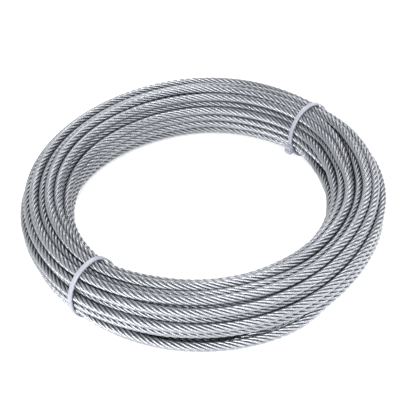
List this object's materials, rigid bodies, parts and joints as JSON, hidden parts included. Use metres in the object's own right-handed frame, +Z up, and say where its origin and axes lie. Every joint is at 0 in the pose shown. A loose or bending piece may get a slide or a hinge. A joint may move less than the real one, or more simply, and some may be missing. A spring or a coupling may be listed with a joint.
{
  "type": "coil of wire rope",
  "caption": "Round flat-lying coil of stranded steel wire rope, its turns bundled and held by plastic cable ties.",
  "frame": {"origin": "middle of the coil, on the surface that it lies on", "axes": "+Z up along the coil's axis; +X to the right and +Y away from the viewer in the picture"},
  "size_m": [0.2072, 0.2072, 0.0367],
  "materials": {
    "galvanised_rope": "bright galvanised wire, six strands laid right-handed, satin with glints along the strands",
    "natural_nylon": "natural nylon, milky white, slightly translucent, satin"
  },
  "bodies": {
    "root": {"rope_coil": "galvanised_rope", "cable_tie_left": "natural_nylon", "cable_tie_right": "natural_nylon"}
  },
  "joints": []
}
